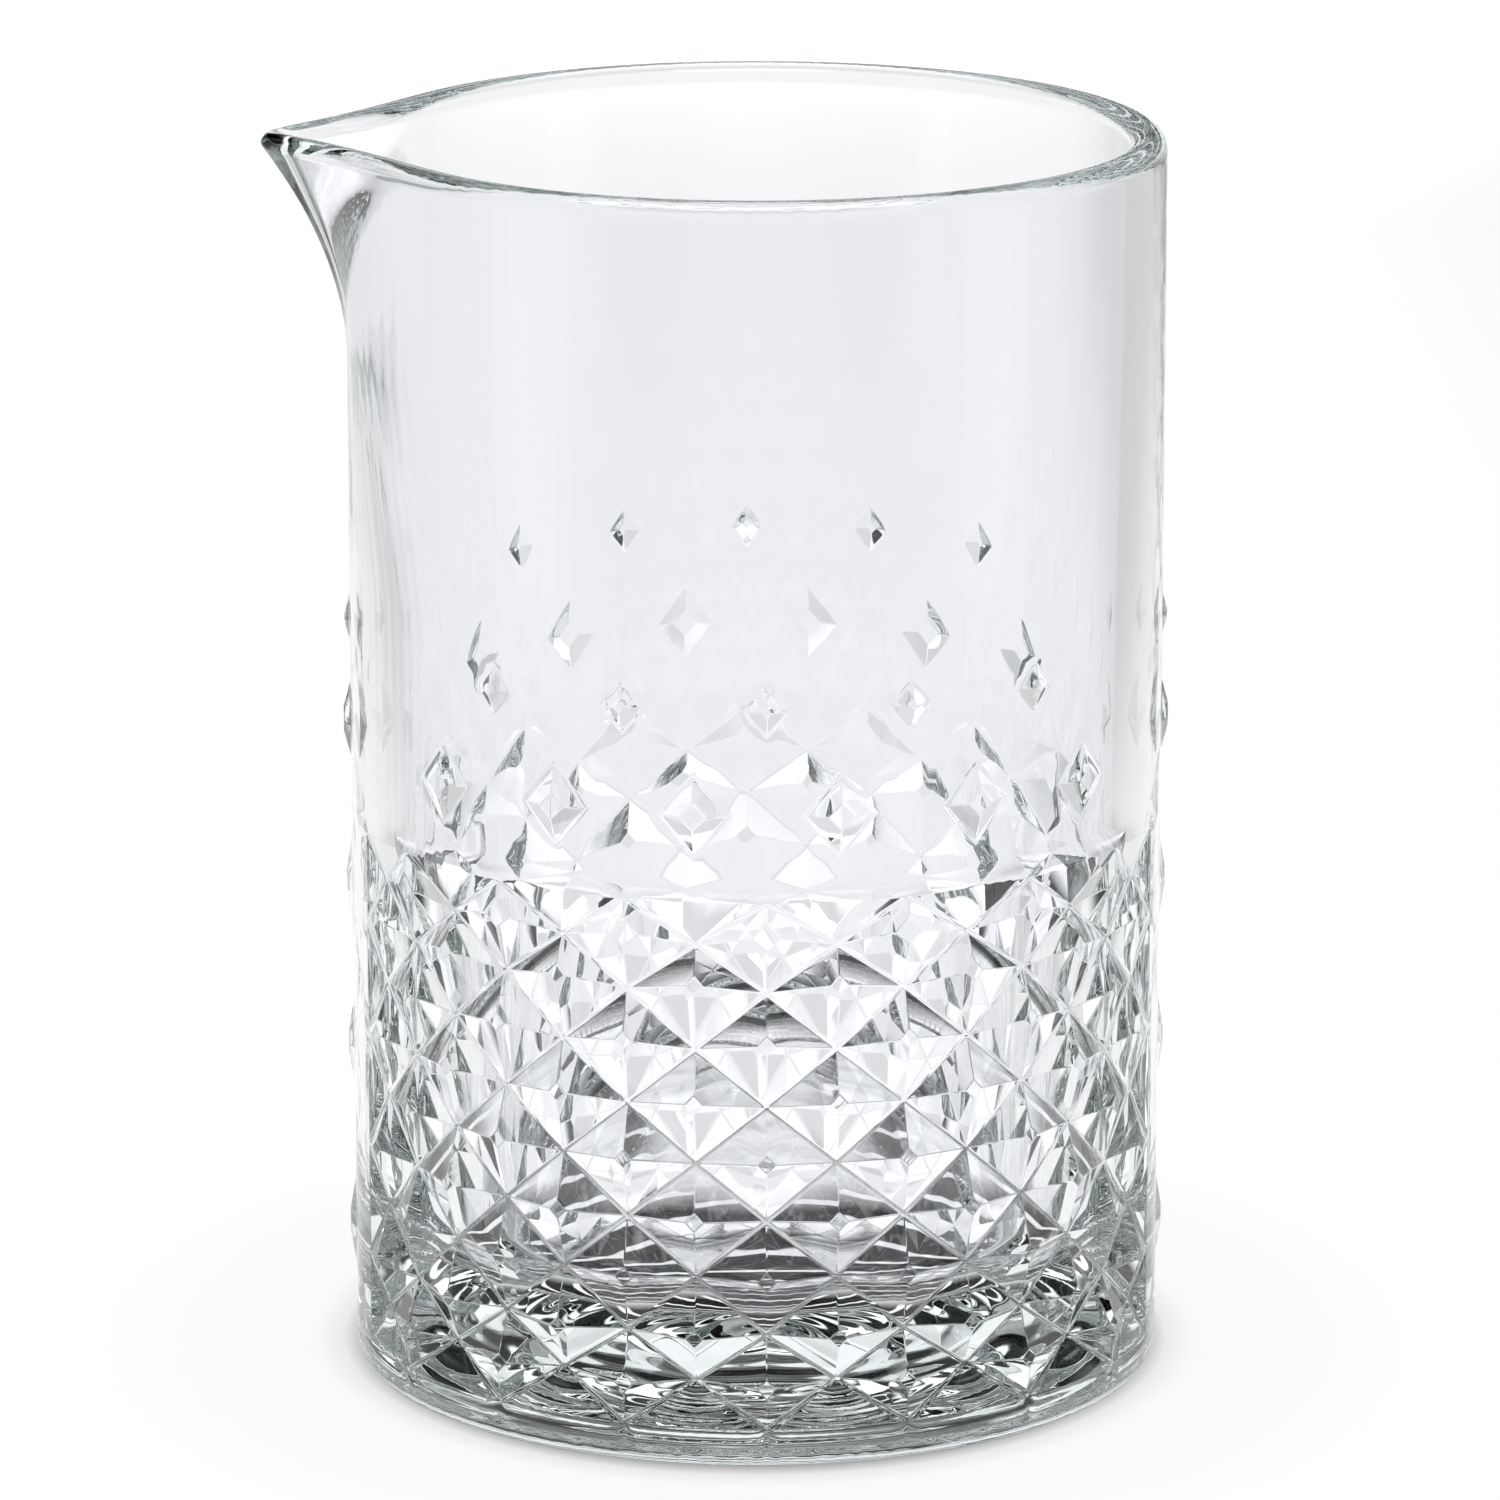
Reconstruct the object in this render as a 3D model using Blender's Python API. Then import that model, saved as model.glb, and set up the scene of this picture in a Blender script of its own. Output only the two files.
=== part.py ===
"""A stirring glass for mixed drinks: one pressed glass vessel with a pouring lip.

The vessel is a single closed skin, built ring by ring from the foot up the outside, over the
rim and down the inside to the floor. The lower outside carries a net of diamond studs, with
two rows of separate studs above it, and the rim is drawn out on -X into the pouring lip.

Frame: origin at the centre of the flat underside, +Z up along the axis, the lip towards -X.
"""

import math
from dataclasses import dataclass

import bmesh
import bpy
from mathutils import Vector

MM = 0.001

# Body of the vessel
HEIGHT = 148.7 * MM
BODY_RADIUS = 48.0 * MM
HEEL_ROUND = 2.5 * MM
RIM_INNER_RADIUS = 43.7 * MM
FLOOR_INNER_RADIUS = 41.6 * MM
FLOOR_THICKNESS = 15.0 * MM
FLOOR_ROUND = 8.0 * MM
RIM_ROUND = 2.2 * MM

# Pouring lip: how far its tip and its channel reach from the axis, how it flares, and how much its
# two sides are hollowed (1 leaves them flat)
LIP_REACH = 58.2 * MM
LIP_CHANNEL_REACH = 54.6 * MM
LIP_TIP_ROUND = 1.8 * MM
LIP_CHANNEL_ROUND = 5.0 * MM
LIP_START = 122.0 * MM
LIP_FULL = 147.3 * MM
LIP_FLARE_POWER = 1.9
LIP_HALF_ANGLE = math.radians(40)
LIP_CROWDING = 1.8
LIP_PINCH = 1.25
LIP_LEAN_START = 96.0 * MM

# Diamond net: studs sit on every second crossing of these columns and rows
NET_COLUMNS = 36
GROOVE_RADIUS = 46.4 * MM
STUD_RADIUS = 48.4 * MM
STUD_FLAT = 1.15 * MM
TOP_ROW_FLAT = 1.8 * MM
ROW_PITCH = 6.8 * MM
END_ROW_PITCH = 5.6 * MM
SECOND_ROW = 16.1 * MM
REGULAR_ROWS = 7
CROWN_LEAN = 0.04
CROWN_LEAN_CENTRE = 25.0 * MM
NET_FOOT = 5.1 * MM
NET_HEAD = 67.8 * MM
RUN_OUT_DEPTH = 0.25 * MM
RUN_OUT_LENGTH = 1.2 * MM

# Plain band over each mould seam, with a few tall studs: the net row of each, and its height
SEAM_COLUMN = NET_COLUMNS // 4
SEAM_BAND = 1.5
SEAM_STUDS = {1: 16.2 * MM, 4: 38.4 * MM, 7: 58.3 * MM}
SEAM_STUD_RELIEF = 0.9 * MM
SEAM_STUD_HALF_HEIGHT = 5.5 * MM

# Separate studs above the net, in two rows. Columns count from the middle of each half, and one
# more stud of each row, with a gentler slope, stands on each seam
SEAM_STUD_SLOPE = 0.27


@dataclass(frozen=True)
class StudRow:
    z: float
    half_height: float
    half_width: float
    flat: float
    slope: float
    columns: tuple


LARGE_STUDS = StudRow(78.1 * MM, 4.7 * MM, 4.1 * MM, flat=1.5 * MM, slope=0.34, columns=(1, 3, 5))
SMALL_STUDS = StudRow(90.4 * MM, 2.9 * MM, 2.45 * MM, flat=0.5 * MM, slope=0.46, columns=(0, 2, 4))

# Fineness of the skin
HALF_COLUMNS = [i / 2 for i in range(2 * NET_COLUMNS)]
HEEL_STEPS = 3
LIP_STEPS = 7
RIM_STEPS = 6
FLOOR_STEPS = 5

GLASS_COLOUR = (0.93, 0.95, 0.945, 1.0)
GLASS_ROUGHNESS = 0.02
GLASS_IOR = 1.52


def clear_scene():
    for obj in list(bpy.data.objects):
        bpy.data.objects.remove(obj)


def glass_material():
    material = bpy.data.materials.new("clear_glass")
    material.use_nodes = True
    shader = material.node_tree.nodes["Principled BSDF"]
    shader.inputs["Base Color"].default_value = GLASS_COLOUR
    shader.inputs["Roughness"].default_value = GLASS_ROUGHNESS
    shader.inputs["Metallic"].default_value = 0.0
    shader.inputs["Transmission Weight"].default_value = 1.0
    shader.inputs["IOR"].default_value = GLASS_IOR
    return material


def column_angle(column):
    """Column 0 faces -Y, and the columns run towards +X."""
    return 2 * math.pi * column / NET_COLUMNS - math.pi / 2


def polar(angle, radius, z):
    return Vector((radius * math.cos(angle), radius * math.sin(angle), z))


def round_ring(radius, z):
    """A ring is a dictionary of points, each under its column."""
    return {column: polar(column_angle(column), radius, z) for column in HALF_COLUMNS}


def from_seam(column):
    """How many columns lie between this one and the nearer mould seam, on +X or -X."""
    turned = (column - SEAM_COLUMN) % (NET_COLUMNS // 2)
    return min(turned, NET_COLUMNS // 2 - turned)


def from_face(column):
    """How many columns lie between this one and the middle of its half, on -Y or +Y."""
    return SEAM_COLUMN - from_seam(column)


# Pouring lip


def flare(z):
    """0 below the lip and 1 at the rim, along the lip's hollow curve."""
    along = max(0.0, (z - LIP_START) / (LIP_FULL - LIP_START))
    return min(1.0, along) ** LIP_FLARE_POWER


def lip_section(turn, radius, reach, tip_round):
    """Distance from the axis to a circle drawn out to a rounded tip, turn radians from the tip."""
    centre = reach - tip_round
    if centre <= radius - tip_round:
        return radius
    tangent = math.acos((radius - tip_round) / centre)
    tip_end = math.atan2(tip_round * math.sin(tangent), centre + tip_round * math.cos(tangent))
    if turn >= tangent:
        return radius
    if turn >= tip_end:
        return radius / math.cos(tangent - turn)
    return centre * math.cos(turn) + math.sqrt(tip_round**2 - (centre * math.sin(turn)) ** 2)


def pinched(distance, radius, reach):
    """Hollows the lip's two sides a little and leaves its tip where it is."""
    drawn = reach - radius
    if drawn <= 0.0:
        return distance
    return radius + drawn * ((distance - radius) / drawn) ** LIP_PINCH


def lip_ring(radius, full_reach, tip_round, z):
    """One ring of the wall at height z, with its points crowded towards the lip."""
    lean = min(1.0, max(0.0, (z - LIP_LEAN_START) / (LIP_START - LIP_LEAN_START)))
    reach = radius + (full_reach - radius) * flare(z)
    ring = {}
    for column in HALF_COLUMNS:
        turn = math.remainder(column_angle(column) - math.pi, 2 * math.pi)
        if abs(turn) < LIP_HALF_ANGLE:
            crowded = LIP_HALF_ANGLE * (abs(turn) / LIP_HALF_ANGLE) ** LIP_CROWDING
            turn = math.copysign(abs(turn) + lean * (crowded - abs(turn)), turn)
        distance = lip_section(abs(turn), radius, reach, tip_round)
        ring[column] = polar(math.pi + turn, pinched(distance, radius, reach), z)
    return ring


def inner_radius(z):
    """The inside narrows evenly from the rim to the floor, so that the mould's plunger comes out."""
    along = (z - FLOOR_THICKNESS) / (HEIGHT - FLOOR_THICKNESS)
    return FLOOR_INNER_RADIUS + along * (RIM_INNER_RADIUS - FLOOR_INNER_RADIUS)


def outer_ring(z):
    return lip_ring(BODY_RADIUS, LIP_REACH, LIP_TIP_ROUND, z)


def inner_ring(z):
    return lip_ring(inner_radius(z), LIP_CHANNEL_REACH, LIP_CHANNEL_ROUND, z)


# Diamond net


def net_row_heights():
    regular = [SECOND_ROW + i * ROW_PITCH for i in range(REGULAR_ROWS)]
    return [SECOND_ROW - END_ROW_PITCH, *regular, regular[-1] + END_ROW_PITCH]


def on_net(column):
    """The net uses whole columns, and the seam band half columns too."""
    return column == int(column) or from_seam(column) <= SEAM_BAND


def seam_height(row):
    """Where the seam's own column crosses this row: at a stud's peak, or at one of its ends."""
    nearest = min(SEAM_STUDS, key=lambda stud_row: abs(stud_row - row))
    return SEAM_STUDS[nearest] + (row - nearest) * SEAM_STUD_HALF_HEIGHT


def net_ring(row, z):
    """One row of crossings: stud peaks and groove crossings by turns, and plain wall at a seam."""
    ring, peaks = {}, []
    for column in filter(on_net, HALF_COLUMNS):
        seam = from_seam(column)
        radius, height = GROOVE_RADIUS, z
        if seam == 0:
            radius = BODY_RADIUS + (SEAM_STUD_RELIEF if row in SEAM_STUDS else 0.0)
            height = seam_height(row)
        elif seam <= SEAM_BAND:
            radius = BODY_RADIUS
        elif (from_face(column) + row) % 2 == 0:
            radius = STUD_RADIUS
            height = z + CROWN_LEAN * (z - CROWN_LEAN_CENTRE)
        if radius > BODY_RADIUS:
            peaks.append(column)
        ring[column] = polar(column_angle(column), radius, height)
    return ring, peaks


def run_out_ring(z):
    """The net's first or last line: the end row's points dip a little into the plain wall."""
    ring = {}
    for column in filter(on_net, HALF_COLUMNS):
        dips = from_face(column) % 2 == 0 and from_seam(column) > SEAM_BAND
        radius = BODY_RADIUS - RUN_OUT_DEPTH if dips else BODY_RADIUS
        ring[column] = polar(column_angle(column), radius, z)
    return ring


def stud_row_rings(row):
    """Three rings of plain wall, whose points meet the four corners and the peak of each stud."""
    columns = (*row.columns, SEAM_COLUMN)
    half_turn = row.half_width / BODY_RADIUS
    middle = round_ring(BODY_RADIUS, row.z)
    peaks = [column for column in HALF_COLUMNS if from_face(column) in columns]
    for peak in peaks:
        angle = column_angle(peak)
        slope = row.slope if from_seam(peak) else SEAM_STUD_SLOPE
        middle[peak] = polar(angle, BODY_RADIUS + slope * row.half_height, row.z)
        middle[(peak - 0.5) % NET_COLUMNS] = polar(angle - half_turn, BODY_RADIUS, row.z)
        middle[(peak + 0.5) % NET_COLUMNS] = polar(angle + half_turn, BODY_RADIUS, row.z)
    below = round_ring(BODY_RADIUS, row.z - row.half_height)
    above = round_ring(BODY_RADIUS, row.z + row.half_height)
    return below, middle, above, peaks


# The skin


class Skin:
    """Rings of points joined into one closed surface, each new ring above the one before it."""

    def __init__(self):
        self.bm = bmesh.new()
        self.last = {}
        self.peaks = {}

    def add(self, ring, peaks=(), flat=STUD_FLAT):
        verts = {column: self.bm.verts.new(point) for column, point in ring.items()}
        self.peaks.setdefault(flat, []).extend(verts[column] for column in peaks)
        self.join(self.last, verts)
        self.last = verts

    def join(self, lower, upper):
        """Fills between two rings, either of which may leave out half columns of the other."""
        shared = [column for column in lower if column in upper]
        for start, end in zip(shared, shared[1:] + shared[:1], strict=True):
            corners = (lower[start], lower[end], upper[end], upper[start])
            middle = start + 0.5
            if (middle in lower) == (middle in upper):
                self.cell(*corners)
            elif middle in upper:
                self.fan(upper[middle], corners[3:] + corners[:3])
            else:
                self.fan(lower[middle], corners[1:] + corners[:1])

    def cell(self, a, b, c, d):
        """Two triangles, split so that the fold doesn't touch the corner furthest from the axis."""
        corners = [a, b, c, d]
        reach = [corner.co.xy.length for corner in corners]
        if reach.index(max(reach)) % 2:
            a, b, c, d = b, c, d, a
        self.bm.faces.new((a, b, d))
        self.bm.faces.new((b, c, d))

    def fan(self, hub, corners):
        """Triangles from a point in one side of a cell to its other three sides."""
        for start, end in zip(corners, corners[1:], strict=False):
            self.bm.faces.new((hub, start, end))

    def cap(self, z, outwards):
        """Triangles from the last ring to the axis."""
        hub = self.bm.verts.new((0.0, 0.0, z))
        rim = list(self.last.values())
        for start, end in zip(rim, rim[1:] + rim[:1], strict=True):
            self.bm.faces.new((start, end, hub) if outwards else (end, start, hub))

    def truncate_peaks(self):
        """Cuts each stud's point off, which leaves the small diamond flat on its crown."""
        for flat, peaks in self.peaks.items():
            bmesh.ops.bevel(self.bm, geom=peaks, offset=flat, segments=1, affect="VERTICES")


def add_foot(skin):
    skin.add(round_ring(BODY_RADIUS - HEEL_ROUND, 0.0))
    skin.cap(0.0, outwards=False)
    for step in range(1, HEEL_STEPS + 1):
        turn = 0.5 * math.pi * step / HEEL_STEPS
        radius = BODY_RADIUS - HEEL_ROUND * (1 - math.sin(turn))
        skin.add(round_ring(radius, HEEL_ROUND * (1 - math.cos(turn))))


def add_pattern(skin):
    skin.add(run_out_ring(NET_FOOT))
    heights = net_row_heights()
    for row, z in enumerate(heights):
        ring, peaks = net_ring(row, z)
        skin.add(ring, peaks, flat=TOP_ROW_FLAT if z == heights[-1] else STUD_FLAT)
    skin.add(run_out_ring(NET_HEAD))
    skin.add(round_ring(BODY_RADIUS, NET_HEAD + RUN_OUT_LENGTH))
    for row in (LARGE_STUDS, SMALL_STUDS):
        below, middle, above, peaks = stud_row_rings(row)
        skin.add(below)
        skin.add(middle, peaks, flat=row.flat)
        skin.add(above)
    skin.add(outer_ring(LIP_LEAN_START))


def lip_heights():
    """Heights from the start of the lip to the start of the rim's rounding."""
    top = HEIGHT - RIM_ROUND
    return [LIP_START + (top - LIP_START) * step / LIP_STEPS for step in range(LIP_STEPS + 1)]


def add_rim(skin):
    """A half-round edge from the outside over to the inside."""
    base = HEIGHT - RIM_ROUND
    for step in range(1, RIM_STEPS):
        turn = math.pi * step / RIM_STEPS
        z = base + RIM_ROUND * math.sin(turn)
        outer, inner = outer_ring(z), inner_ring(z)
        share = (1 + math.cos(turn)) / 2
        skin.add({column: inner[column].lerp(outer[column], share) for column in HALF_COLUMNS})


def add_inside(skin):
    for z in reversed(lip_heights()):
        skin.add(inner_ring(z))
    skin.add(inner_ring(LIP_LEAN_START))
    for step in range(FLOOR_STEPS + 1):
        turn = 0.5 * math.pi * step / FLOOR_STEPS
        z = FLOOR_THICKNESS + FLOOR_ROUND * (1 - math.sin(turn))
        radius = inner_radius(FLOOR_THICKNESS + FLOOR_ROUND) - FLOOR_ROUND * (1 - math.cos(turn))
        skin.add(round_ring(radius, z))
    skin.cap(FLOOR_THICKNESS, outwards=True)


def build_glass_body():
    skin = Skin()
    add_foot(skin)
    add_pattern(skin)
    for z in lip_heights():
        skin.add(outer_ring(z))
    add_rim(skin)
    add_inside(skin)
    skin.truncate_peaks()
    mesh = bpy.data.meshes.new("glass_body")
    skin.bm.to_mesh(mesh)
    skin.bm.free()
    mesh.shade_smooth()
    mesh.set_sharp_from_angle(angle=math.radians(12))
    mesh.materials.append(glass_material())
    return bpy.data.objects.new("glass_body", mesh)


def main():
    clear_scene()
    collection = bpy.data.collections.new("mixing_glass")
    bpy.context.scene.collection.children.link(collection)
    collection.objects.link(build_glass_body())


main()
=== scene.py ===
"""Looks of the mixing glass: one clear pressed-glass vessel on a pale floor in soft studio light.

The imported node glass_body is a coarse solid. It is replaced here by one finer closed skin with the
same sizes: a smooth round wall, flat facets whose grooves and ridges are slightly rounded, a
fire-polished rim and a pouring lip. Lengths are in metres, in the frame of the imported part.
"""

import math

import bmesh
import bpy
from mathutils import Euler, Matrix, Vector
from mathutils.geometry import delaunay_2d_cdt, normal


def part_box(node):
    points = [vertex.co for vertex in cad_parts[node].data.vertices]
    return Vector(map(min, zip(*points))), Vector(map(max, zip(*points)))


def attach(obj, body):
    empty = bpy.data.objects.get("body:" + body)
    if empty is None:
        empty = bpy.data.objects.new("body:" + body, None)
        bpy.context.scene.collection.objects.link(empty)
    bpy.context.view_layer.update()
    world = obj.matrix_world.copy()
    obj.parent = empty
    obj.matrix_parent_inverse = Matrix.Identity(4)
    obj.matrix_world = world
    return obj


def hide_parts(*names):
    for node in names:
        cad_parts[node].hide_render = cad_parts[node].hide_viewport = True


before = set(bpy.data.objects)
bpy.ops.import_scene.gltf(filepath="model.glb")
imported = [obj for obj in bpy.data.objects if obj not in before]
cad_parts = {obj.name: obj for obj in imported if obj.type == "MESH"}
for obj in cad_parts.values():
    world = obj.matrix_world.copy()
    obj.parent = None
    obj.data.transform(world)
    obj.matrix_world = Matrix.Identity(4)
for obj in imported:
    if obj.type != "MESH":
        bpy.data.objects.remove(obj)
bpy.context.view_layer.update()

MM = 0.001
CAD_LOW, CAD_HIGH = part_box("glass_body")

# Body of the vessel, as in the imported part
HEIGHT = CAD_HIGH[2]
BODY_RADIUS = 48.0 * MM
HEEL_ROUND = 2.5 * MM
RIM_INNER_RADIUS = 43.7 * MM
FLOOR_INNER_RADIUS = 41.6 * MM
FLOOR_THICKNESS = 15.0 * MM
FLOOR_ROUND = 8.0 * MM
RIM_ROUND = 2.2 * MM

# Underside: a knurled ring to rest on, round a shallow domed recess with turned rings
BEARING_INNER_RADIUS = 39.0 * MM
KNURL_DEPTH = 0.3 * MM
KNURL_RUN_OUT = 0.5 * MM
RECESS_STEP = 0.6 * MM
RECESS_DEPTH = 1.8 * MM
TURNED_RING_PITCH = 4.8 * MM
TURNED_RING_DEPTH = 0.05 * MM

# Pouring lip
LIP_REACH = -CAD_LOW[0]
LIP_TIP_THICKNESS = 3.6 * MM
LIP_CHANNEL_REACH = LIP_REACH - LIP_TIP_THICKNESS
LIP_TIP_ROUND = 1.8 * MM
LIP_CHANNEL_ROUND = 5.0 * MM
LIP_START = 122.0 * MM
LIP_FULL = 147.3 * MM
LIP_FLARE_POWER = 1.9
LIP_HALF_ANGLE = math.radians(40)
LIP_CROWDING = 1.8
LIP_PINCH = 1.25
LIP_LEAN_START = 96.0 * MM

# Diamond net
NET_COLUMNS = 36
GROOVE_RADIUS = 46.4 * MM
STUD_RADIUS = 48.4 * MM
STUD_FLAT = 1.15 * MM
TOP_ROW_FLAT = 1.8 * MM
ROW_PITCH = 6.8 * MM
END_ROW_PITCH = 5.6 * MM
SECOND_ROW = 16.1 * MM
REGULAR_ROWS = 7
CROWN_LEAN = 0.04
CROWN_LEAN_CENTRE = 25.0 * MM
NET_FOOT = 5.1 * MM
NET_HEAD = 67.8 * MM
RUN_OUT_DEPTH = 0.25 * MM
HEAD_DIP = 0.34 * MM
HEAD_BLEND = 3.0 * MM
HEAD_STEPS = 4

# Single studs on the plain wall: height, half height, half width, flat, slope and their columns
SEAM_COLUMN = NET_COLUMNS // 4
SEAM_BAND = 1.625
SINGLE_STUDS = [
    (78.1 * MM, 4.7 * MM, 4.1 * MM, 1.5 * MM, 0.34, (1, 3, 5)),
    (90.4 * MM, 2.9 * MM, 2.45 * MM, 0.5 * MM, 0.46, (0, 2, 4)),
    (78.1 * MM, 4.7 * MM, 4.1 * MM, 1.5 * MM, 0.27, (SEAM_COLUMN,)),
    (90.4 * MM, 2.9 * MM, 2.45 * MM, 0.5 * MM, 0.27, (SEAM_COLUMN,)),
    (16.2 * MM, 5.5 * MM, 4.1 * MM, 1.2 * MM, 0.165, (SEAM_COLUMN,)),
    (38.4 * MM, 5.5 * MM, 4.1 * MM, 1.2 * MM, 0.165, (SEAM_COLUMN,)),
    (58.3 * MM, 5.5 * MM, 4.1 * MM, 1.2 * MM, 0.165, (SEAM_COLUMN,)),
]

# Fineness of the skin
STEPS_PER_COLUMN = 8
WALL_PITCH = 2.0 * MM
INSIDE_PITCH = 8.0 * MM
LIP_PITCH = 1.0 * MM
RECESS_STEPS = 56
HEEL_STEPS = 8
RIM_STEPS = 14
FLOOR_STEPS = 16
OUTLINE_STEPS = 4
WINDOW_MARGIN = 0.6 * MM
WINDOW_REACH = 4
SAME_POINT = 1e-7

# Rounding of the pattern's edges: width in a groove, share of that on a ridge, and the least fold that
# is rounded
CREASE_ROUND = 0.34 * MM
CREASE_SEGMENTS = 3
RIDGE_SHARE = 0.35
LEAST_CREASE = math.radians(6)
PATTERN_INNER_RADIUS = GROOVE_RADIUS - 0.1 * MM

# Glass: what its surface and its body do to light
GLASS_TINT = (0.960, 0.963, 0.982, 1.0)
GLASS_IOR = 1.52
SURFACE_WAVE_SCALE = 55.0
SURFACE_WAVE_DEPTH = 0.04 * MM
BODY_TINT = (0.68, 0.76, 0.745, 1.0)
BODY_DENSITY = 7.5

# Floor. Lists of pairs, here and below, are (position, brightness) stops. These go by metres to the
# side, and by depth, where 0.5 is at the axis and 1 is 1 m behind
FLOOR_REACH = 6.0
FLOOR_SIDES = 64
FLOOR_DROP = 0.2 * MM
FLOOR_TINT = (0.02, 0.02, 0.02, 1.0)
FLOOR_ROUGHNESS = 0.9
# Painted shade dims the floor's glow to the sides and in front, and painted light raises it far behind
FLOOR_BY_SIDE = [(0.12, 1.0), (0.30, 0.65)]
FLOOR_BY_DEPTH = [(0.25, 0.5), (0.42, 1.0), (0.85, 1.0), (1.0, 1.3)]

# Painted shade and light under the base, by metres behind the axis and by metres to the side
UNDER_BY_DEPTH = [(0.0, 0.004), (0.007, 1.1), (0.0400, 1.1), (0.0412, 0.004)]
UNDER_BY_SIDE = [(0.018, 1.0), (0.030, 0.12)]

# Painted rings of light under the base: how far apart, how uneven, round which point, and how bright
GLINT_PITCH = 7.0 * MM
GLINT_WOBBLE = 2.0
GLINT_DETAIL = 2.0
GLINT_DETAIL_SCALE = 1.0
GLINT_CENTRE = (0.0, -0.055, 0.0)
GLINTS = [(0.84, 0.0), (0.96, 1.15)]
# Painted shade along the darker parts of the rings
GLINT_SHADES = [(0.15, 0.88), (0.5, 1.0)]

# Oval patches of the floor: stops by distance, where they lie, and how far they reach across and back
# Keeps the painted shade and rings of light inside the base's edge
UNDER_BASE = ([(0.0450, 1.0), (0.0462, 0.0)], (0.0, 0.0, 0.0), (1.0, 1.0, 1.0))
# Painted contact shadow round the sides and back of the base
PAINTED_CONTACT_SHADOW = ([(0.0470, 0.01), (0.0570, 0.95), (0.10, 1.0)], (0.0, 0.006, 0.0), (0.91, 1.0, 1.0))
# Painted shadow cast behind the vessel
CAST_SHADE = ([(0.6, 0.85), (1.0, 1.0)], (0.0, 0.19, 0.0), (0.052, 0.075, 1.0))
# Painted pool of light behind the base
NEAR_LIGHT = ([(0.6, 1.25), (1.0, 1.0)], (0.0, 0.12, 0.0), (0.075, 0.075, 1.0))

# Surroundings: brightness by height, where 0.5 is the horizon and 1 is overhead, with thin bright bands
# between dark ones, and by depth, where 0.5 is beside the vessel and 1 is behind it
SKY_BY_HEIGHT = [
    (0.5, 1.4), (0.52, 1.3), (0.535, 0.003), (0.563, 0.003), (0.568, 2.0), (0.573, 0.003), (0.61, 0.003),
    (0.615, 2.0), (0.62, 0.003), (0.645, 0.003), (0.65, 2.0), (0.66, 2.0), (0.665, 0.003), (0.69, 0.003),
    (0.70, 2.5), (0.71, 0.003), (0.76, 0.01), (0.88, 0.6),
]
SKY_BY_DEPTH = [(0.2, 0.35), (0.5, 0.3), (0.8, 1.0)]

# Lights: place, width and height, and power
LIGHTS_AIM = Vector((0.0, 0.0, 0.05))
TOP_SOFTBOX = ((0.0, -0.3, 1.2), (0.6, 0.4), 2.0)
STRIP_LIGHTS = [((side * 0.22, -0.11, 0.13), (0.09, 0.2), 0.015) for side in (-1, 1)]
LONGEST_LIGHT_PATH = 32

# Camera
CAMERA_PLACE = (-0.0267, -1.0405, 0.3359)
CAMERA_TURN = Euler((math.radians(75.87), 0.0, math.radians(-1.43)))
CAMERA_LENS = 217.1
CAMERA_SENSOR = 36.0


def column_angle(column):
    """Column 0 faces -Y, and the columns run towards +X."""
    return 2 * math.pi * column / NET_COLUMNS - math.pi / 2


def polar(angle, radius, z):
    return Vector((radius * math.cos(angle), radius * math.sin(angle), z))


def columns_by(steps):
    """Columns all the way round, with this many steps to a whole column."""
    return [i / steps for i in range(steps * NET_COLUMNS)]


FINE_COLUMNS = columns_by(STEPS_PER_COLUMN)
KNURL_COLUMNS = columns_by(2 * STEPS_PER_COLUMN)


def round_ring(radius, z):
    return {column: polar(column_angle(column), radius, z) for column in FINE_COLUMNS}


def knurled_ring(radius):
    """Ridges to rest on, one to a fine step, with valleys between them."""
    ring = {}
    for i, column in enumerate(KNURL_COLUMNS):
        ring[column] = polar(column_angle(column), radius, KNURL_DEPTH if i % 2 else 0.0)
    return ring


def from_seam(column):
    turned = (column - SEAM_COLUMN) % (NET_COLUMNS // 2)
    return min(turned, NET_COLUMNS // 2 - turned)


def from_face(column):
    return SEAM_COLUMN - from_seam(column)


# Pouring lip


def flare(z):
    along = max(0.0, (z - LIP_START) / (LIP_FULL - LIP_START))
    return min(1.0, along) ** LIP_FLARE_POWER


def lip_section(turn, radius, reach, tip_round):
    """Distance from the axis to a circle drawn out to a rounded tip, turn radians from the tip."""
    centre = reach - tip_round
    if centre <= radius - tip_round:
        return radius
    tangent = math.acos((radius - tip_round) / centre)
    tip_end = math.atan2(tip_round * math.sin(tangent), centre + tip_round * math.cos(tangent))
    if turn >= tangent:
        return radius
    if turn >= tip_end:
        return radius / math.cos(tangent - turn)
    return centre * math.cos(turn) + math.sqrt(tip_round**2 - (centre * math.sin(turn)) ** 2)


def pinched(distance, radius, reach):
    """Hollows the lip's two sides a little and leaves its tip where it is."""
    drawn = reach - radius
    if drawn <= 0.0:
        return distance
    return radius + drawn * ((distance - radius) / drawn) ** LIP_PINCH


def lip_ring(radius, full_reach, tip_round, z):
    lean = min(1.0, max(0.0, (z - LIP_LEAN_START) / (LIP_START - LIP_LEAN_START)))
    reach = radius + (full_reach - radius) * flare(z)
    ring = {}
    for column in FINE_COLUMNS:
        turn = math.remainder(column_angle(column) - math.pi, 2 * math.pi)
        if abs(turn) < LIP_HALF_ANGLE:
            crowded = LIP_HALF_ANGLE * (abs(turn) / LIP_HALF_ANGLE) ** LIP_CROWDING
            turn = math.copysign(abs(turn) + lean * (crowded - abs(turn)), turn)
        distance = lip_section(abs(turn), radius, reach, tip_round)
        ring[column] = polar(math.pi + turn, pinched(distance, radius, reach), z)
    return ring


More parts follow.
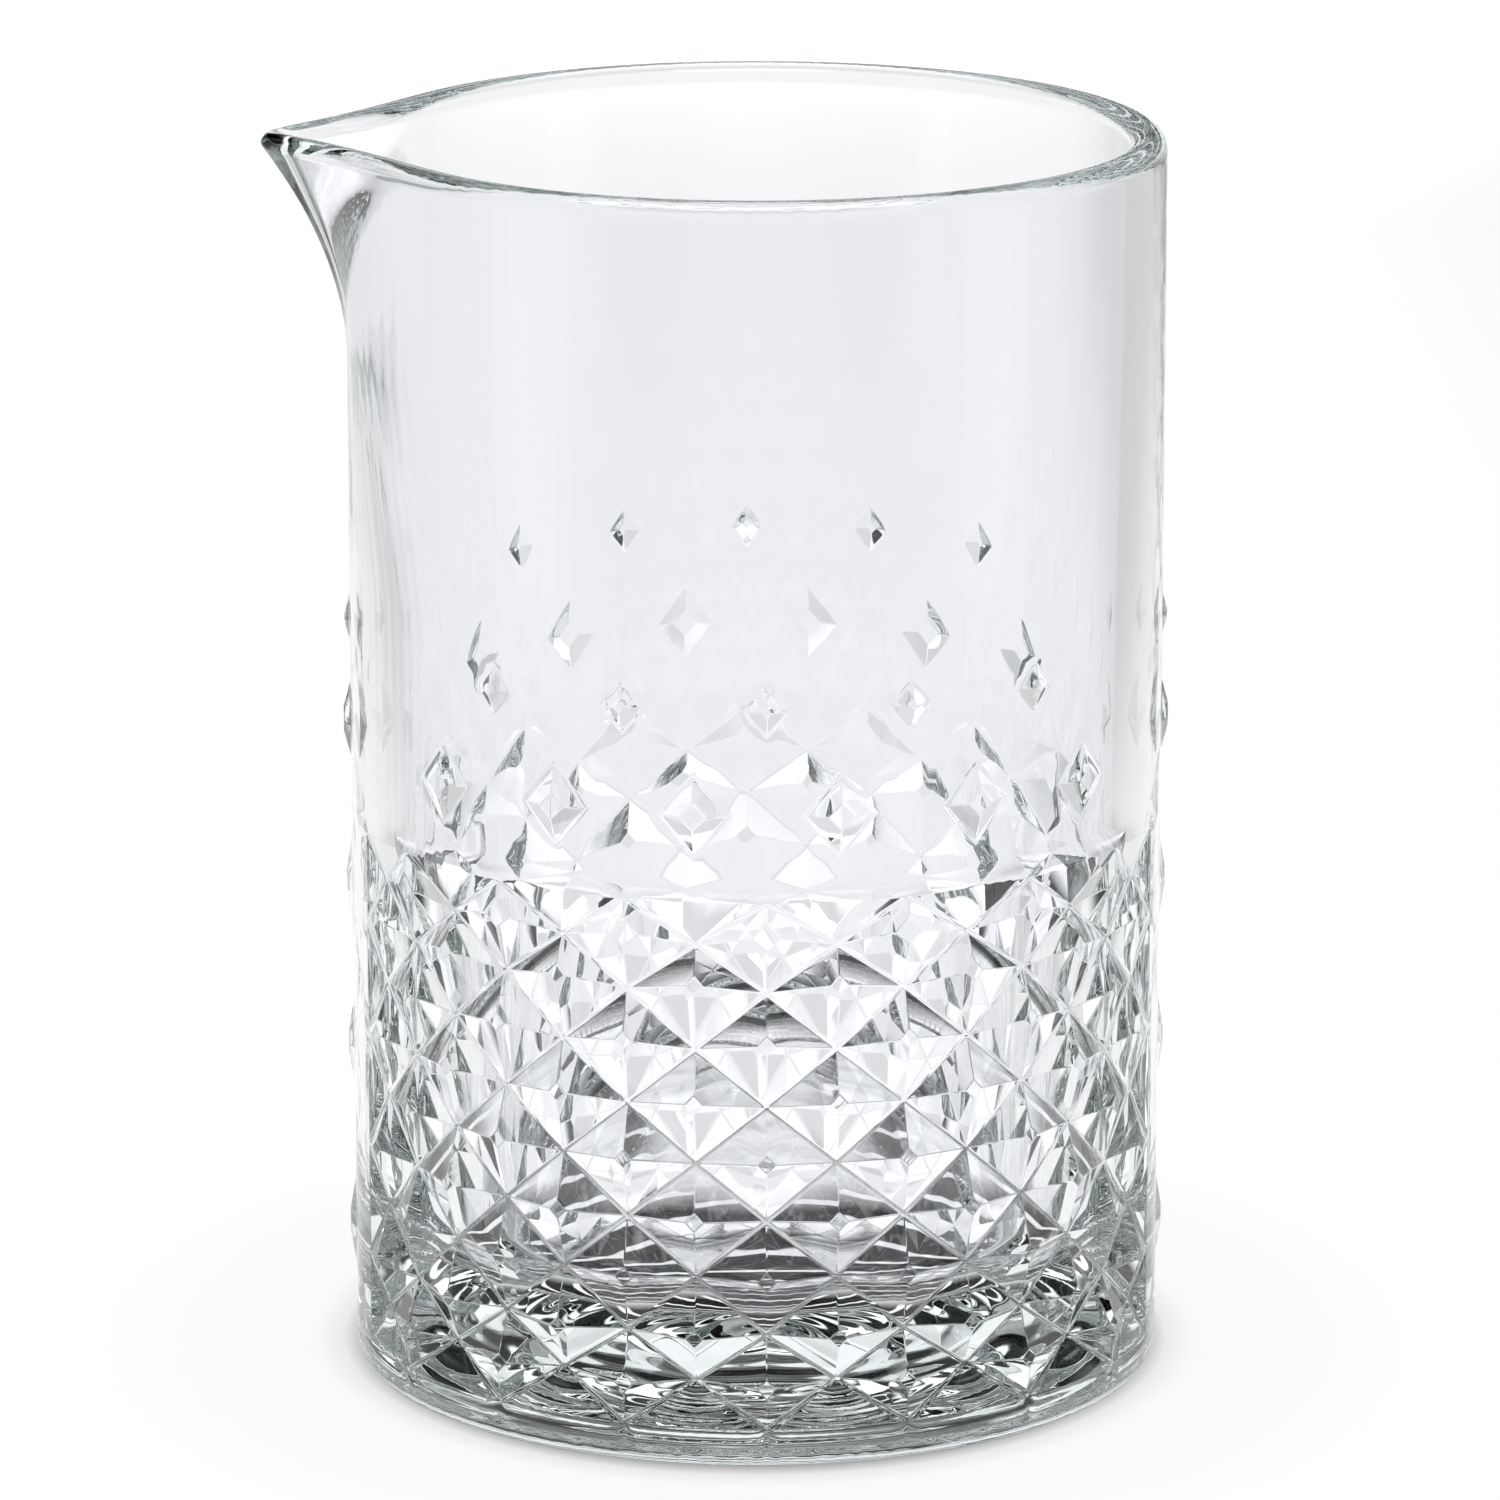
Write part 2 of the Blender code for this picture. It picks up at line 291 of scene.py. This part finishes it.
def inner_radius(z):
    along = (z - FLOOR_THICKNESS) / (HEIGHT - FLOOR_THICKNESS)
    return FLOOR_INNER_RADIUS + along * (RIM_INNER_RADIUS - FLOOR_INNER_RADIUS)


def outer_ring(z):
    return lip_ring(BODY_RADIUS, LIP_REACH, LIP_TIP_ROUND, z)


def inner_ring(z):
    return lip_ring(inner_radius(z), LIP_CHANNEL_REACH, LIP_CHANNEL_ROUND, z)


# Diamond net


def net_row_heights():
    regular = [SECOND_ROW + i * ROW_PITCH for i in range(REGULAR_ROWS)]
    return [SECOND_ROW - END_ROW_PITCH, *regular, regular[-1] + END_ROW_PITCH]


def net_ring(row, z):
    """Stud peaks and groove crossings by turns on whole columns, and plain wall at the seams."""
    ring, peaks = {}, []
    for column in FINE_COLUMNS:
        radius, height = GROOVE_RADIUS, z
        if from_seam(column) <= SEAM_BAND:
            radius = BODY_RADIUS
        elif column != int(column):
            continue
        elif (from_face(column) + row) % 2 == 0:
            radius = STUD_RADIUS
            height = z + CROWN_LEAN * (z - CROWN_LEAN_CENTRE)
            peaks.append(column)
        ring[column] = polar(column_angle(column), radius, height)
    return ring, peaks


def foot_ring(z):
    """The net's lower edge, where the end row's points dip a little into the wall."""
    ring = round_ring(BODY_RADIUS, z)
    for column in range(NET_COLUMNS):
        if from_face(column) % 2 == 0 and from_seam(column) > SEAM_BAND:
            ring[column] = polar(column_angle(column), BODY_RADIUS - RUN_OUT_DEPTH, z)
    return ring


def head_ring(z):
    """The wall curves in a little above the net, so that the net's head has no hard edge."""
    sink = HEAD_DIP * (1 - (z - NET_HEAD) / HEAD_BLEND) ** 2
    ring = {}
    for column in FINE_COLUMNS:
        share = min(1.0, max(0.0, from_seam(column) - SEAM_BAND))
        ring[column] = polar(column_angle(column), BODY_RADIUS - share * sink, z)
    return ring


# The skin


class Skin:
    """Rings of points joined into one closed surface. A ring maps columns to points."""

    def __init__(self):
        self.bm = bmesh.new()
        self.last = {}
        self.peaks = {}

    def add(self, ring, peaks=(), flat=STUD_FLAT):
        verts = {column: self.bm.verts.new(point) for column, point in ring.items()}
        self.peaks.setdefault(flat, []).extend(verts[column] for column in peaks)
        if self.last:
            self.join(self.last, verts)
        self.last = verts

    def join(self, lower, upper):
        """Fills between two rings, either of which may leave out columns of the other."""
        shared = [column for column in lower if column in upper]
        single = sorted(lower.keys() ^ upper.keys())
        for start, end in zip(shared, [*shared[1:], NET_COLUMNS], strict=True):
            between = [column for column in single if start < column < end]
            last = end % NET_COLUMNS
            below = [lower[start], *(lower[c] for c in between if c in lower), lower[last]]
            above = [upper[start], *(upper[c] for c in between if c in upper), upper[last]]
            if len(below) == len(above) == 2:
                self.cell(*below, *reversed(above))
            else:
                self.strip(below, above)

    def cell(self, a, b, c, d):
        """A smooth wall's cell stays whole; a cell of the net folds clear of its stud's peak."""
        reach = [corner.co.xy.length for corner in (a, b, c, d)]
        if max(reach) - min(reach) < RUN_OUT_DEPTH / 2:
            self.bm.faces.new((a, b, c, d))
            return
        if reach.index(max(reach)) % 2:
            a, b, c, d = b, c, d, a
        self.bm.faces.new((a, b, d))
        self.bm.faces.new((b, c, d))

    def strip(self, below, above):
        """Triangles between a side of two points and a side of many, as a fan from the inner one."""
        coarse, fine = (below, above) if len(below) == 2 else (above, below)
        inner = min(coarse, key=lambda vert: vert.co.xy.length)
        outer = coarse[1] if inner is coarse[0] else coarse[0]
        near = fine[-1] if inner is coarse[0] else fine[0]
        facing = normal([vert.co for vert in (*below, *reversed(above))])
        for face in [(inner, outer, near), *((inner, b, a) for a, b in zip(fine, fine[1:]))]:
            agrees = normal([vert.co for vert in face]).dot(facing) > 0
            self.bm.faces.new(face if agrees else face[::-1])

    def cap(self, z, outwards):
        hub = self.bm.verts.new((0.0, 0.0, z))
        rim = list(self.last.values())
        for start, end in zip(rim, rim[1:] + rim[:1], strict=True):
            self.bm.faces.new((start, end, hub) if outwards else (end, start, hub))

    def truncate_peaks(self):
        """Cuts each stud's point off, which leaves the small diamond flat on its crown."""
        for flat, peaks in self.peaks.items():
            bmesh.ops.bevel(self.bm, geom=peaks, offset=flat, segments=1, affect="VERTICES")


def heights_between(low, high, pitch):
    count = max(1, round((high - low) / pitch))
    return [low + (high - low) * step / count for step in range(1, count + 1)]


def unrolled(point, column):
    """A point of the outer wall as distance round from a column, and height."""
    turn = math.remainder(math.atan2(point.y, point.x) - column_angle(column), 2 * math.pi)
    return Vector((turn * BODY_RADIUS, point.z))


def wall_window(bm, column, z, half_width, half_height):
    """The plain wall's faces that reach into a box of these half sizes round a stud."""
    window = []
    for face in bm.faces:
        if min(vert.co.xy.length for vert in face.verts) < BODY_RADIUS - RUN_OUT_DEPTH / 2:
            continue
        spots = [unrolled(vert.co, column) for vert in face.verts]
        across = max(abs(spot.x) for spot in spots) < WINDOW_REACH * half_width
        beside = min(abs(spot.x) for spot in spots) < half_width
        below = min(spot.y for spot in spots) < z + half_height
        above = max(spot.y for spot in spots) > z - half_height
        if across and beside and below and above:
            window.append(face)
    return window


def set_single_stud(bm, column, z, half_height, half_width, flat, slope):
    """Cuts a window in the plain wall and fills it with a low pyramid that has a flat crown."""
    window = wall_window(bm, column, z, half_width + WINDOW_MARGIN, half_height + WINDOW_MARGIN)
    inside = set(window)
    border = [e for f in window for e in f.edges if any(g not in inside for g in e.link_faces)]
    verts = list({vert for edge in border for vert in edge.verts})
    spots = [unrolled(vert.co, column) for vert in verts]
    edges = [tuple(verts.index(vert) for vert in edge.verts) for edge in border]
    bmesh.ops.delete(bm, geom=window, context="FACES")

    corners = [(half_width, 0), (0, half_height), (-half_width, 0), (0, -half_height)]
    peak = slope * half_height
    outline, crown = [], []
    for (x0, y0), (x1, y1) in zip(corners, corners[1:] + corners[:1], strict=True):
        for step in range(OUTLINE_STEPS):
            share = step / OUTLINE_STEPS
            outline.append(len(spots))
            spots.append(Vector((x0 + share * (x1 - x0), z + y0 + share * (y1 - y0))))
            verts.append(bm.verts.new(on_wall(spots[-1], column, BODY_RADIUS)))
        share = flat / math.hypot(x0, y0)
        crown.append(len(spots))
        spots.append(Vector((x0 * share, z + y0 * share)))
        verts.append(bm.verts.new(on_wall(spots[-1], column, BODY_RADIUS + (1 - share) * peak)))
    edges += zip(outline, outline[1:] + outline[:1], strict=True)
    edges += zip(crown, crown[1:] + crown[:1], strict=True)
    edges += zip(outline[::OUTLINE_STEPS], crown, strict=True)
    _, _, faces, sources, _, _ = delaunay_2d_cdt(spots, edges, [], 1, SAME_POINT)
    for face in faces:
        bm.faces.new([verts[sources[i][0]] for i in face])


def on_wall(spot, column, radius):
    return polar(column_angle(column) + spot.x / BODY_RADIUS, radius, spot.y)


def add_underside(skin):
    recess = BEARING_INNER_RADIUS - KNURL_RUN_OUT
    for step in range(1, RECESS_STEPS + 1):
        share = step / RECESS_STEPS
        dome = (RECESS_DEPTH - RECESS_STEP) * (1 - share**2)
        wave = TURNED_RING_DEPTH * math.cos(2 * math.pi * share * recess / TURNED_RING_PITCH)
        skin.add(round_ring(share * recess, RECESS_STEP + dome + wave / 2))
        if step == 1:
            skin.cap(RECESS_DEPTH + TURNED_RING_DEPTH / 2, outwards=False)
    skin.add(round_ring(BEARING_INNER_RADIUS, KNURL_DEPTH))
    skin.add(knurled_ring(BEARING_INNER_RADIUS + KNURL_RUN_OUT))
    skin.add(knurled_ring(BODY_RADIUS - HEEL_ROUND - KNURL_RUN_OUT))


def add_heel(skin):
    skin.add(round_ring(BODY_RADIUS - HEEL_ROUND, 0.0))
    for step in range(1, HEEL_STEPS + 1):
        turn = 0.5 * math.pi * step / HEEL_STEPS
        radius = BODY_RADIUS - HEEL_ROUND * (1 - math.sin(turn))
        skin.add(round_ring(radius, HEEL_ROUND * (1 - math.cos(turn))))


def add_outside(skin):
    skin.add(foot_ring(NET_FOOT))
    heights = net_row_heights()
    for row, z in enumerate(heights):
        ring, peaks = net_ring(row, z)
        skin.add(ring, peaks, flat=TOP_ROW_FLAT if z == heights[-1] else STUD_FLAT)
    for step in range(HEAD_STEPS + 1):
        skin.add(head_ring(NET_HEAD + HEAD_BLEND * step / HEAD_STEPS))
    for z in heights_between(NET_HEAD + HEAD_BLEND, LIP_LEAN_START, WALL_PITCH):
        skin.add(round_ring(BODY_RADIUS, z))
    for z in heights_between(LIP_LEAN_START, LIP_START, WALL_PITCH):
        skin.add(outer_ring(z))
    for z in heights_between(LIP_START, HEIGHT - RIM_ROUND, LIP_PITCH):
        skin.add(outer_ring(z))


def add_rim(skin):
    """A half-round edge from the outside over to the inside."""
    base = HEIGHT - RIM_ROUND
    for step in range(1, RIM_STEPS):
        turn = math.pi * step / RIM_STEPS
        z = base + RIM_ROUND * math.sin(turn)
        outer, inner = outer_ring(z), inner_ring(z)
        share = (1 + math.cos(turn)) / 2
        skin.add({column: inner[column].lerp(outer[column], share) for column in FINE_COLUMNS})


def add_inside(skin):
    base = HEIGHT - RIM_ROUND
    skin.add(inner_ring(base))
    for z in heights_between(base, LIP_START, LIP_PITCH):
        skin.add(inner_ring(z))
    for z in heights_between(LIP_START, LIP_LEAN_START, WALL_PITCH):
        skin.add(inner_ring(z))
    fillet_top = FLOOR_THICKNESS + FLOOR_ROUND
    for z in heights_between(LIP_LEAN_START, fillet_top, INSIDE_PITCH):
        skin.add(inner_ring(z))
    for step in range(1, FLOOR_STEPS + 1):
        turn = 0.5 * math.pi * step / FLOOR_STEPS
        z = FLOOR_THICKNESS + FLOOR_ROUND * (1 - math.sin(turn))
        skin.add(round_ring(inner_radius(fillet_top) - FLOOR_ROUND * (1 - math.cos(turn)), z))
    skin.cap(FLOOR_THICKNESS, outwards=True)


def weigh_edges(bm):
    """Marks the pattern's grooves and ridges for the bevel, by how sharply they fold."""
    weight = bm.edges.layers.float.new("bevel_weight_edge")
    for edge in bm.edges:
        heights = [vert.co.z for vert in edge.verts]
        if max(heights) > LIP_LEAN_START or min(heights) < HEEL_ROUND:
            continue
        if min(vert.co.xy.length for vert in edge.verts) < PATTERN_INNER_RADIUS:
            continue
        fold = edge.calc_face_angle_signed()
        if abs(fold) > LEAST_CREASE:
            edge[weight] = RIDGE_SHARE if fold > 0 else 1.0


def build_glass(material):
    skin = Skin()
    add_underside(skin)
    add_heel(skin)
    add_outside(skin)
    add_rim(skin)
    add_inside(skin)
    skin.truncate_peaks()
    for *form, columns in SINGLE_STUDS:
        for column in range(NET_COLUMNS):
            if from_face(column) in columns:
                set_single_stud(skin.bm, column, *form)
    weigh_edges(skin.bm)
    mesh = bpy.data.meshes.new("glass_vessel")
    skin.bm.to_mesh(mesh)
    skin.bm.free()
    mesh.shade_smooth()
    mesh.materials.append(material)
    glass = bpy.data.objects.new("glass_vessel", mesh)
    bpy.context.scene.collection.objects.link(glass)
    rounding = glass.modifiers.new("rounded_edges", "BEVEL")
    rounding.limit_method = "WEIGHT"
    rounding.width = CREASE_ROUND
    rounding.segments = CREASE_SEGMENTS
    rounding.use_clamp_overlap = False
    shading = glass.modifiers.new("flat_facets", "WEIGHTED_NORMAL")
    shading.weight = 100
    return glass


# Materials


def glass_material():
    """Clear soda-lime glass with a faint grey-green body and the soft waves of a pressed surface."""
    material = bpy.data.materials.new("clear_glass")
    material.use_nodes = True
    nodes, links = material.node_tree.nodes, material.node_tree.links
    shader = nodes["Principled BSDF"]
    shader.inputs["Base Color"].default_value = GLASS_TINT
    shader.inputs["Transmission Weight"].default_value = 1.0
    shader.inputs["IOR"].default_value = GLASS_IOR
    shader.inputs["Roughness"].default_value = 0.0

    place = nodes.new("ShaderNodeTexCoord")
    waves = nodes.new("ShaderNodeTexNoise")
    waves.inputs["Scale"].default_value = SURFACE_WAVE_SCALE
    waves.inputs["Detail"].default_value = 1.0
    links.new(place.outputs["Object"], waves.inputs["Vector"])
    bump = nodes.new("ShaderNodeBump")
    bump.inputs["Strength"].default_value = 1.0
    bump.inputs["Distance"].default_value = SURFACE_WAVE_DEPTH
    links.new(waves.outputs["Fac"], bump.inputs["Height"])
    links.new(bump.outputs["Normal"], shader.inputs["Normal"])

    body = nodes.new("ShaderNodeVolumeAbsorption")
    body.inputs["Color"].default_value = BODY_TINT
    body.inputs["Density"].default_value = BODY_DENSITY
    links.new(body.outputs["Volume"], nodes["Material Output"].inputs["Volume"])
    return material


def ramp_node(nodes, name, stops):
    """A smooth grey ramp through (position, brightness) stops."""
    ramp = nodes.new("ShaderNodeValToRGB")
    ramp.name = name
    ramp.color_ramp.interpolation = "EASE"
    points = ramp.color_ramp.elements
    for position, _ in stops[1:-1]:
        points.new(position)
    for point, (position, brightness) in zip(points, stops, strict=True):
        point.position = position
        point.color = (brightness, brightness, brightness, 1.0)
    return ramp


def multiply(nodes, links, first, second):
    product = nodes.new("ShaderNodeMath")
    product.operation = "MULTIPLY"
    links.new(first, product.inputs[0])
    links.new(second, product.inputs[1])
    return product.outputs["Value"]


def maximum(nodes, links, first, second):
    largest = nodes.new("ShaderNodeMath")
    largest.operation = "MAXIMUM"
    links.new(first, largest.inputs[0])
    links.new(second, largest.inputs[1])
    return largest.outputs["Value"]


def halved(nodes, links, value):
    """Brings -1 to 1 into the 0 to 1 that a ramp takes."""
    moved = nodes.new("ShaderNodeMath")
    moved.operation = "MULTIPLY_ADD"
    links.new(value, moved.inputs[0])
    moved.inputs[1].default_value = 0.5
    moved.inputs[2].default_value = 0.5
    return moved.outputs["Value"]


def shade_patch(nodes, links, place, stops, centre, size):
    """A ramp by distance from a centre, which size can stretch into an oval."""
    spot = nodes.new("ShaderNodeMapping")
    spot.vector_type = "TEXTURE"
    spot.inputs["Location"].default_value = centre
    spot.inputs["Scale"].default_value = size
    links.new(place.outputs["Object"], spot.inputs["Vector"])
    reach = nodes.new("ShaderNodeVectorMath")
    reach.operation = "LENGTH"
    links.new(spot.outputs["Vector"], reach.inputs[0])
    shade = ramp_node(nodes, "shade", stops)
    links.new(reach.outputs["Value"], shade.inputs["Fac"])
    return shade


def shade_under_base(nodes, links, place, across, depth):
    """Painted shade under the base, dark in front, at the sides and along the far edge, with painted
    rings of light.
    Nothing beyond the base's edge."""
    rings = nodes.new("ShaderNodeTexWave")
    rings.wave_type = "RINGS"
    rings.rings_direction = "Z"
    rings.inputs["Scale"].default_value = math.pi / (10 * GLINT_PITCH)
    rings.inputs["Distortion"].default_value = GLINT_WOBBLE
    rings.inputs["Detail"].default_value = GLINT_DETAIL
    rings.inputs["Detail Scale"].default_value = GLINT_DETAIL_SCALE
    centre = nodes.new("ShaderNodeMapping")
    centre.vector_type = "TEXTURE"
    centre.inputs["Location"].default_value = GLINT_CENTRE
    links.new(place.outputs["Object"], centre.inputs["Vector"])
    links.new(centre.outputs["Vector"], rings.inputs["Vector"])
    glints = ramp_node(nodes, "glints", GLINTS)
    links.new(rings.outputs["Fac"], glints.inputs["Fac"])
    shades = ramp_node(nodes, "shades", GLINT_SHADES)
    links.new(rings.outputs["Fac"], shades.inputs["Fac"])
    stops = [((y + 1) / 2, brightness) for y, brightness in UNDER_BY_DEPTH]
    bands = ramp_node(nodes, "bands", stops)
    links.new(depth, bands.inputs["Fac"])
    edges = ramp_node(nodes, "edges", UNDER_BY_SIDE)
    links.new(across, edges.inputs["Fac"])
    under = multiply(nodes, links, bands.outputs["Color"], edges.outputs["Color"])
    under = multiply(nodes, links, under, shades.outputs["Color"])
    under = maximum(nodes, links, under, glints.outputs["Color"])
    inside = shade_patch(nodes, links, place, *UNDER_BASE)
    return multiply(nodes, links, under, inside.outputs["Color"])


def floor_material():
    """A pale sheet that glows, with painted shade and light under, round and behind the vessel's base.
    """
    material = bpy.data.materials.new("pale_floor")
    material.use_nodes = True
    nodes, links = material.node_tree.nodes, material.node_tree.links
    shader = nodes["Principled BSDF"]
    shader.inputs["Base Color"].default_value = FLOOR_TINT
    shader.inputs["Roughness"].default_value = FLOOR_ROUGHNESS
    shader.inputs["Specular IOR Level"].default_value = 0.0

    place = nodes.new("ShaderNodeTexCoord")
    split = nodes.new("ShaderNodeSeparateXYZ")
    links.new(place.outputs["Object"], split.inputs["Vector"])
    # Painted shade: the glow dims to the sides and in front, and painted light raises it far behind
    across = nodes.new("ShaderNodeMath")
    across.operation = "ABSOLUTE"
    links.new(split.outputs["X"], across.inputs[0])
    sides = ramp_node(nodes, "sides", FLOOR_BY_SIDE)
    links.new(across.outputs["Value"], sides.inputs["Fac"])
    depth = halved(nodes, links, split.outputs["Y"])
    fade = ramp_node(nodes, "depth", FLOOR_BY_DEPTH)
    links.new(depth, fade.inputs["Fac"])
    # Painted shade and painted rings of light under the base
    under = shade_under_base(nodes, links, place, across.outputs["Value"], depth)
    # Painted contact shadow round the base
    contact_shadow = shade_patch(nodes, links, place, *PAINTED_CONTACT_SHADOW)
    glow = multiply(nodes, links, sides.outputs["Color"], fade.outputs["Color"])
    glow = multiply(nodes, links, glow, maximum(nodes, links, under, contact_shadow.outputs["Color"]))
    # A painted shadow cast behind the vessel, and a painted pool of light behind the base
    for oval in (CAST_SHADE, NEAR_LIGHT):
        patch = shade_patch(nodes, links, place, *oval)
        glow = multiply(nodes, links, glow, patch.outputs["Color"])
    shader.inputs["Emission Color"].default_value = (1.0, 1.0, 1.0, 1.0)
    links.new(glow, shader.inputs["Emission Strength"])
    return material


# Stage


def build_floor():
    mesh = bpy.data.meshes.new("floor")
    bm = bmesh.new()
    bmesh.ops.create_circle(bm, cap_ends=True, radius=FLOOR_REACH, segments=FLOOR_SIDES)
    bm.to_mesh(mesh)
    bm.free()
    mesh.materials.append(floor_material())
    floor = bpy.data.objects.new("floor", mesh)
    floor.location.z = -FLOOR_DROP
    bpy.context.scene.collection.objects.link(floor)


def build_world():
    """A studio that is bright low down behind the vessel, and dark with a few bright bands above."""
    world = bpy.data.worlds.new("studio")
    bpy.context.scene.world = world
    world.use_nodes = True
    nodes, links = world.node_tree.nodes, world.node_tree.links
    place = nodes.new("ShaderNodeTexCoord")
    split = nodes.new("ShaderNodeSeparateXYZ")
    links.new(place.outputs["Generated"], split.inputs["Vector"])
    height = ramp_node(nodes, "height", SKY_BY_HEIGHT)
    links.new(halved(nodes, links, split.outputs["Z"]), height.inputs["Fac"])
    turn = ramp_node(nodes, "turn", SKY_BY_DEPTH)
    links.new(halved(nodes, links, split.outputs["Y"]), turn.inputs["Fac"])
    glow = multiply(nodes, links, height.outputs["Color"], turn.outputs["Color"])
    links.new(glow, nodes["Background"].inputs["Strength"])
    nodes["Background"].inputs["Color"].default_value = (1.0, 1.0, 1.0, 1.0)


def add_softbox(name, place, size, power):
    light = bpy.data.lights.new(name, "AREA")
    light.shape = "RECTANGLE"
    light.size, light.size_y = size
    light.energy = power
    softbox = bpy.data.objects.new(name, light)
    softbox.location = place
    aim = LIGHTS_AIM - Vector(place)
    softbox.rotation_euler = aim.to_track_quat("-Z", "Y").to_euler()
    softbox.visible_camera = False
    bpy.context.scene.collection.objects.link(softbox)


def let_light_travel(bounces):
    """Light runs a long way inside thick glass, between its two skins, before it leaves."""
    cycles = bpy.context.scene.cycles
    cycles.max_bounces = bounces
    cycles.glossy_bounces = bounces
    cycles.transmission_bounces = bounces


def build_camera():
    camera = bpy.data.cameras.new("camera")
    camera.sensor_width = CAMERA_SENSOR
    camera.lens = CAMERA_LENS
    camera.clip_start = 0.05
    viewer = bpy.data.objects.new("camera", camera)
    viewer.location = CAMERA_PLACE
    viewer.rotation_euler = CAMERA_TURN
    bpy.context.scene.collection.objects.link(viewer)
    bpy.context.scene.camera = viewer


build_camera()
build_world()
build_floor()
add_softbox("top_softbox", *TOP_SOFTBOX)
for strip in STRIP_LIGHTS:
    add_softbox("strip_light", *strip)
bpy.context.scene.view_settings.view_transform = "Standard"
let_light_travel(LONGEST_LIGHT_PATH)

vessel = build_glass(glass_material())
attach(vessel, "root")
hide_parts("glass_body")

bpy.context.view_layer.update()
